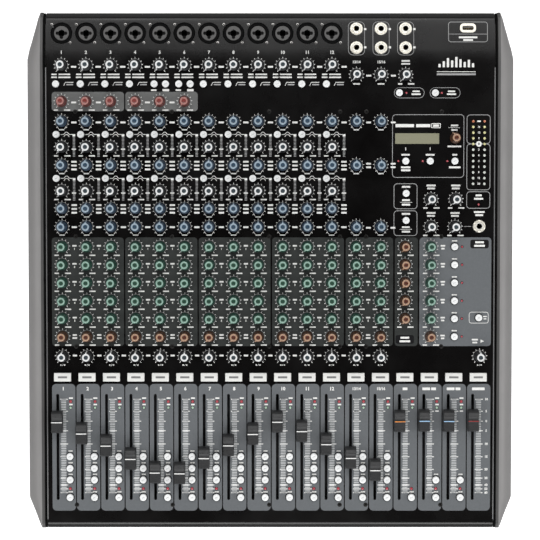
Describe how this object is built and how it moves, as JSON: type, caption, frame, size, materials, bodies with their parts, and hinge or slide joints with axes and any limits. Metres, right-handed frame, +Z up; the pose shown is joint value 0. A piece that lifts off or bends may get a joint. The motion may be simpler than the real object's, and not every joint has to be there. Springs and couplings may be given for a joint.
{
  "type": "mixing console",
  "caption": "Analogue mixing console: sloping black control panel between folded grey cheeks, rows of rotary controls, socket banks at the rear and long-throw faders",
  "frame": {"origin": "on the table, under the middle of the outline", "axes": "+Z up, +Y from the user's side to the rear, +X to the right along the fader row"},
  "size_m": [0.505, 0.532, 0.1122],
  "materials": {
    "panel_paint": "black textured powder coat",
    "case_paint": "black powder coat",
    "cheek_paint": "grey satin powder coat",
    "rubber": "matt black",
    "socket_plastic": "black moulded plastic with metal nuts and contacts",
    "nickel": "nickel plate",
    "display_glass": "unlit liquid crystal window",
    "circuit_board": "green solder mask",
    "cable": "grey ribbon insulation",
    "fader_cap": "dark grey with a printed centre line",
    "knob_plastic": "dark skirt with a coloured ring on top",
    "key_plastic": "light grey"
  },
  "bodies": {
    "console": {"control_panel": "panel_paint", "base_tray": "case_paint", "rear_panel": "case_paint", "left_cheek": "cheek_paint", "right_cheek": "cheek_paint", "foot_front_left": "rubber", "foot_front_right": "rubber", "foot_rear_left": "rubber", "foot_rear_right": "rubber", "input_socket_bank": "socket_plastic", "line_jack_bank": "socket_plastic", "headphone_jack": "socket_plastic", "usb_socket": "nickel", "lcd_display": "display_glass", "level_meter_board": "circuit_board", "channel_board": "circuit_board", "fader_track_board": "circuit_board", "output_socket_bank": "socket_plastic", "mains_inlet": "socket_plastic", "power_supply": "circuit_board", "effects_module": "circuit_board", "ribbon_cable": "cable"},
    "fader_channel_01": {"fader_channel_01": "fader_cap"},
    "fader_channel_02": {"fader_channel_02": "fader_cap"},
    "fader_channel_03": {"fader_channel_03": "fader_cap"},
    "fader_channel_04": {"fader_channel_04": "fader_cap"},
    "fader_channel_05": {"fader_channel_05": "fader_cap"},
    "fader_channel_06": {"fader_channel_06": "fader_cap"},
    "fader_channel_07": {"fader_channel_07": "fader_cap"},
    "fader_channel_08": {"fader_channel_08": "fader_cap"},
    "fader_channel_09": {"fader_channel_09": "fader_cap"},
    "fader_channel_10": {"fader_channel_10": "fader_cap"},
    "fader_channel_11": {"fader_channel_11": "fader_cap"},
    "fader_channel_12": {"fader_channel_12": "fader_cap"},
    "fader_stereo_1": {"fader_stereo_1": "fader_cap"},
    "fader_stereo_2": {"fader_stereo_2": "fader_cap"},
    "fader_effects": {"fader_effects": "fader_cap"},
    "fader_group_1": {"fader_group_1": "fader_cap"},
    "fader_group_2": {"fader_group_2": "fader_cap"},
    "fader_main": {"fader_main": "fader_cap"},
    "knob_gain_channel_01": {"knob_gain_channel_01": "knob_plastic"},
    "knob_compressor_channel_01": {"knob_compressor_channel_01": "knob_plastic"},
    "knob_treble_channel_01": {"knob_treble_channel_01": "knob_plastic"},
    "knob_high_mid_frequency_channel_01": {"knob_high_mid_frequency_channel_01": "knob_plastic"},
    "knob_high_mid_channel_01": {"knob_high_mid_channel_01": "knob_plastic"},
    "knob_low_mid_frequency_channel_01": {"knob_low_mid_frequency_channel_01": "knob_plastic"},
    "knob_low_mid_channel_01": {"knob_low_mid_channel_01": "knob_plastic"},
    "knob_bass_channel_01": {"knob_bass_channel_01": "knob_plastic"},
    "knob_aux_1_channel_01": {"knob_aux_1_channel_01": "knob_plastic"},
    "knob_aux_2_channel_01": {"knob_aux_2_channel_01": "knob_plastic"},
    "knob_aux_3_channel_01": {"knob_aux_3_channel_01": "knob_plastic"},
    "knob_aux_4_channel_01": {"knob_aux_4_channel_01": "knob_plastic"},
    "knob_aux_5_channel_01": {"knob_aux_5_channel_01": "knob_plastic"},
    "knob_effects_send_channel_01": {"knob_effects_send_channel_01": "knob_plastic"},
    "knob_pan_channel_01": {"knob_pan_channel_01": "knob_plastic"},
    "knob_effects_encoder": {"knob_effects_encoder": "knob_plastic"},
    "knob_headphone_level": {"knob_headphone_level": "knob_plastic"},
    "mute_key_channel_01": {"mute_key_channel_01": "key_plastic"},
    "low_cut_button_channel_01": {"low_cut_button_channel_01": "key_plastic"},
    "power_rocker": {"power_rocker": "knob_plastic"}
  },
  "joints": [
    {"name": "fader_channel_01_slide", "type": "slide", "parent": "console", "child": "fader_channel_01", "axis": [0, 0.994, 0.1092], "range_m": [-0.0767, 0.0233]},
    {"name": "fader_channel_02_slide", "type": "slide", "parent": "console", "child": "fader_channel_02", "axis": [0, 0.994, 0.1092], "range_m": [-0.065, 0.035]},
    {"name": "fader_channel_03_slide", "type": "slide", "parent": "console", "child": "fader_channel_03", "axis": [0, 0.994, 0.1092], "range_m": [-0.0525, 0.0475]},
    {"name": "fader_channel_04_slide", "type": "slide", "parent": "console", "child": "fader_channel_04", "axis": [0, 0.994, 0.1092], "range_m": [-0.0387, 0.0613]},
    {"name": "fader_channel_05_slide", "type": "slide", "parent": "console", "child": "fader_channel_05", "axis": [0, 0.994, 0.1092], "range_m": [-0.0245, 0.0755]},
    {"name": "fader_channel_06_slide", "type": "slide", "parent": "console", "child": "fader_channel_06", "axis": [0, 0.994, 0.1092], "range_m": [-0.0237, 0.0763]},
    {"name": "fader_channel_07_slide", "type": "slide", "parent": "console", "child": "fader_channel_07", "axis": [0, 0.994, 0.1092], "range_m": [-0.0395, 0.0605]},
    {"name": "fader_channel_08_slide", "type": "slide", "parent": "console", "child": "fader_channel_08", "axis": [0, 0.994, 0.1092], "range_m": [-0.0527, 0.0473]},
    {"name": "fader_channel_09_slide", "type": "slide", "parent": "console", "child": "fader_channel_09", "axis": [0, 0.994, 0.1092], "range_m": [-0.0645, 0.0355]},
    {"name": "fader_channel_10_slide", "type": "slide", "parent": "console", "child": "fader_channel_10", "axis": [0, 0.994, 0.1092], "range_m": [-0.0772, 0.0228]},
    {"name": "fader_channel_11_slide", "type": "slide", "parent": "console", "child": "fader_channel_11", "axis": [0, 0.994, 0.1092], "range_m": [-0.0675, 0.0325]},
    {"name": "fader_channel_12_slide", "type": "slide", "parent": "console", "child": "fader_channel_12", "axis": [0, 0.994, 0.1092], "range_m": [-0.054, 0.046]},
    {"name": "fader_stereo_1_slide", "type": "slide", "parent": "console", "child": "fader_stereo_1", "axis": [0, 0.994, 0.1092], "range_m": [-0.0397, 0.0603]},
    {"name": "fader_stereo_2_slide", "type": "slide", "parent": "console", "child": "fader_stereo_2", "axis": [0, 0.994, 0.1092], "range_m": [-0.027, 0.073]},
    {"name": "fader_effects_slide", "type": "slide", "parent": "console", "child": "fader_effects", "axis": [0, 0.994, 0.1092], "range_m": [-0.0777, 0.0223]},
    {"name": "fader_group_1_slide", "type": "slide", "parent": "console", "child": "fader_group_1", "axis": [0, 0.994, 0.1092], "range_m": [-0.0782, 0.0218]},
    {"name": "fader_group_2_slide", "type": "slide", "parent": "console", "child": "fader_group_2", "axis": [0, 0.994, 0.1092], "range_m": [-0.078, 0.022]},
    {"name": "fader_main_slide", "type": "slide", "parent": "console", "child": "fader_main", "axis": [0, 0.994, 0.1092], "range_m": [-0.0782, 0.0218]},
    {"name": "knob_gain_channel_01_turn", "type": "hinge", "parent": "console", "child": "knob_gain_channel_01", "pos_m": [-0.21505, 0.2102, 0.09783], "axis": [0, -0.1092, 0.994], "range_deg": [-300, 0]},
    {"name": "knob_compressor_channel_01_turn", "type": "hinge", "parent": "console", "child": "knob_compressor_channel_01", "pos_m": [-0.21505, 0.1733, 0.09378], "axis": [0, -0.1092, 0.994], "range_deg": [-300, 0]},
    {"name": "knob_treble_channel_01_turn", "type": "hinge", "parent": "console", "child": "knob_treble_channel_01", "pos_m": [-0.21505, 0.1529, 0.09154], "axis": [0, -0.1092, 0.994], "range_deg": [-150, 150]},
    {"name": "knob_high_mid_frequency_channel_01_turn", "type": "hinge", "parent": "console", "child": "knob_high_mid_frequency_channel_01", "pos_m": [-0.21505, 0.1265, 0.08864], "axis": [0, -0.1092, 0.994], "range_deg": [-300, 0]},
    {"name": "knob_high_mid_channel_01_turn", "type": "hinge", "parent": "console", "child": "knob_high_mid_channel_01", "pos_m": [-0.21505, 0.1081, 0.08661], "axis": [0, -0.1092, 0.994], "range_deg": [-150, 150]},
    {"name": "knob_low_mid_frequency_channel_01_turn", "type": "hinge", "parent": "console", "child": "knob_low_mid_frequency_channel_01", "pos_m": [-0.21505, 0.0818, 0.08372], "axis": [0, -0.1092, 0.994], "range_deg": [-300, 0]},
    {"name": "knob_low_mid_channel_01_turn", "type": "hinge", "parent": "console", "child": "knob_low_mid_channel_01", "pos_m": [-0.21505, 0.0637, 0.08174], "axis": [0, -0.1092, 0.994], "range_deg": [-150, 150]},
    {"name": "knob_bass_channel_01_turn", "type": "hinge", "parent": "console", "child": "knob_bass_channel_01", "pos_m": [-0.21505, 0.0451, 0.07969], "axis": [0, -0.1092, 0.994], "range_deg": [-150, 150]},
    {"name": "knob_aux_1_channel_01_turn", "type": "hinge", "parent": "console", "child": "knob_aux_1_channel_01", "pos_m": [-0.21505, 0.0246, 0.07744], "axis": [0, -0.1092, 0.994], "range_deg": [-300, 0]},
    {"name": "knob_aux_2_channel_01_turn", "type": "hinge", "parent": "console", "child": "knob_aux_2_channel_01", "pos_m": [-0.21505, 0.0061, 0.0754], "axis": [0, -0.1092, 0.994], "range_deg": [-300, 0]},
    {"name": "knob_aux_3_channel_01_turn", "type": "hinge", "parent": "console", "child": "knob_aux_3_channel_01", "pos_m": [-0.21505, -0.0124, 0.07337], "axis": [0, -0.1092, 0.994], "range_deg": [-300, 0]},
    {"name": "knob_aux_4_channel_01_turn", "type": "hinge", "parent": "console", "child": "knob_aux_4_channel_01", "pos_m": [-0.21505, -0.0309, 0.07134], "axis": [0, -0.1092, 0.994], "range_deg": [-300, 0]},
    {"name": "knob_aux_5_channel_01_turn", "type": "hinge", "parent": "console", "child": "knob_aux_5_channel_01", "pos_m": [-0.21505, -0.0493, 0.06932], "axis": [0, -0.1092, 0.994], "range_deg": [-300, 0]},
    {"name": "knob_effects_send_channel_01_turn", "type": "hinge", "parent": "console", "child": "knob_effects_send_channel_01", "pos_m": [-0.21505, -0.0678, 0.06728], "axis": [0, -0.1092, 0.994], "range_deg": [-300, 0]},
    {"name": "knob_pan_channel_01_turn", "type": "hinge", "parent": "console", "child": "knob_pan_channel_01", "pos_m": [-0.21505, -0.0884, 0.06502], "axis": [0, -0.1092, 0.994], "range_deg": [-150, 150]},
    {"name": "knob_effects_encoder_turn", "type": "hinge", "parent": "console", "child": "knob_effects_encoder", "pos_m": [0.1905, 0.136, 0.08968], "axis": [0, -0.1092, 0.994], "continuous": true},
    {"name": "knob_headphone_level_turn", "type": "hinge", "parent": "console", "child": "knob_headphone_level", "pos_m": [0.1905, 0.045, 0.07968], "axis": [0, -0.1092, 0.994], "range_deg": [-300, 0]},
    {"name": "mute_key_channel_01_press", "type": "slide", "parent": "console", "child": "mute_key_channel_01", "axis": [0, 0.1092, -0.994], "range_m": [0, 0.0018], "stiffness_N_per_m": 400, "springref_m": -0.0008},
    {"name": "low_cut_button_channel_01_press", "type": "slide", "parent": "console", "child": "low_cut_button_channel_01", "axis": [0, 0.1092, -0.994], "range_m": [0, 0.0018], "stiffness_N_per_m": 400, "springref_m": -0.0008},
    {"name": "power_rocker_tip", "type": "hinge", "parent": "console", "child": "power_rocker", "pos_m": [0.152, 0.2564, 0.047], "axis": [1, 0, 0], "range_deg": [-16, 0]}
  ]
}
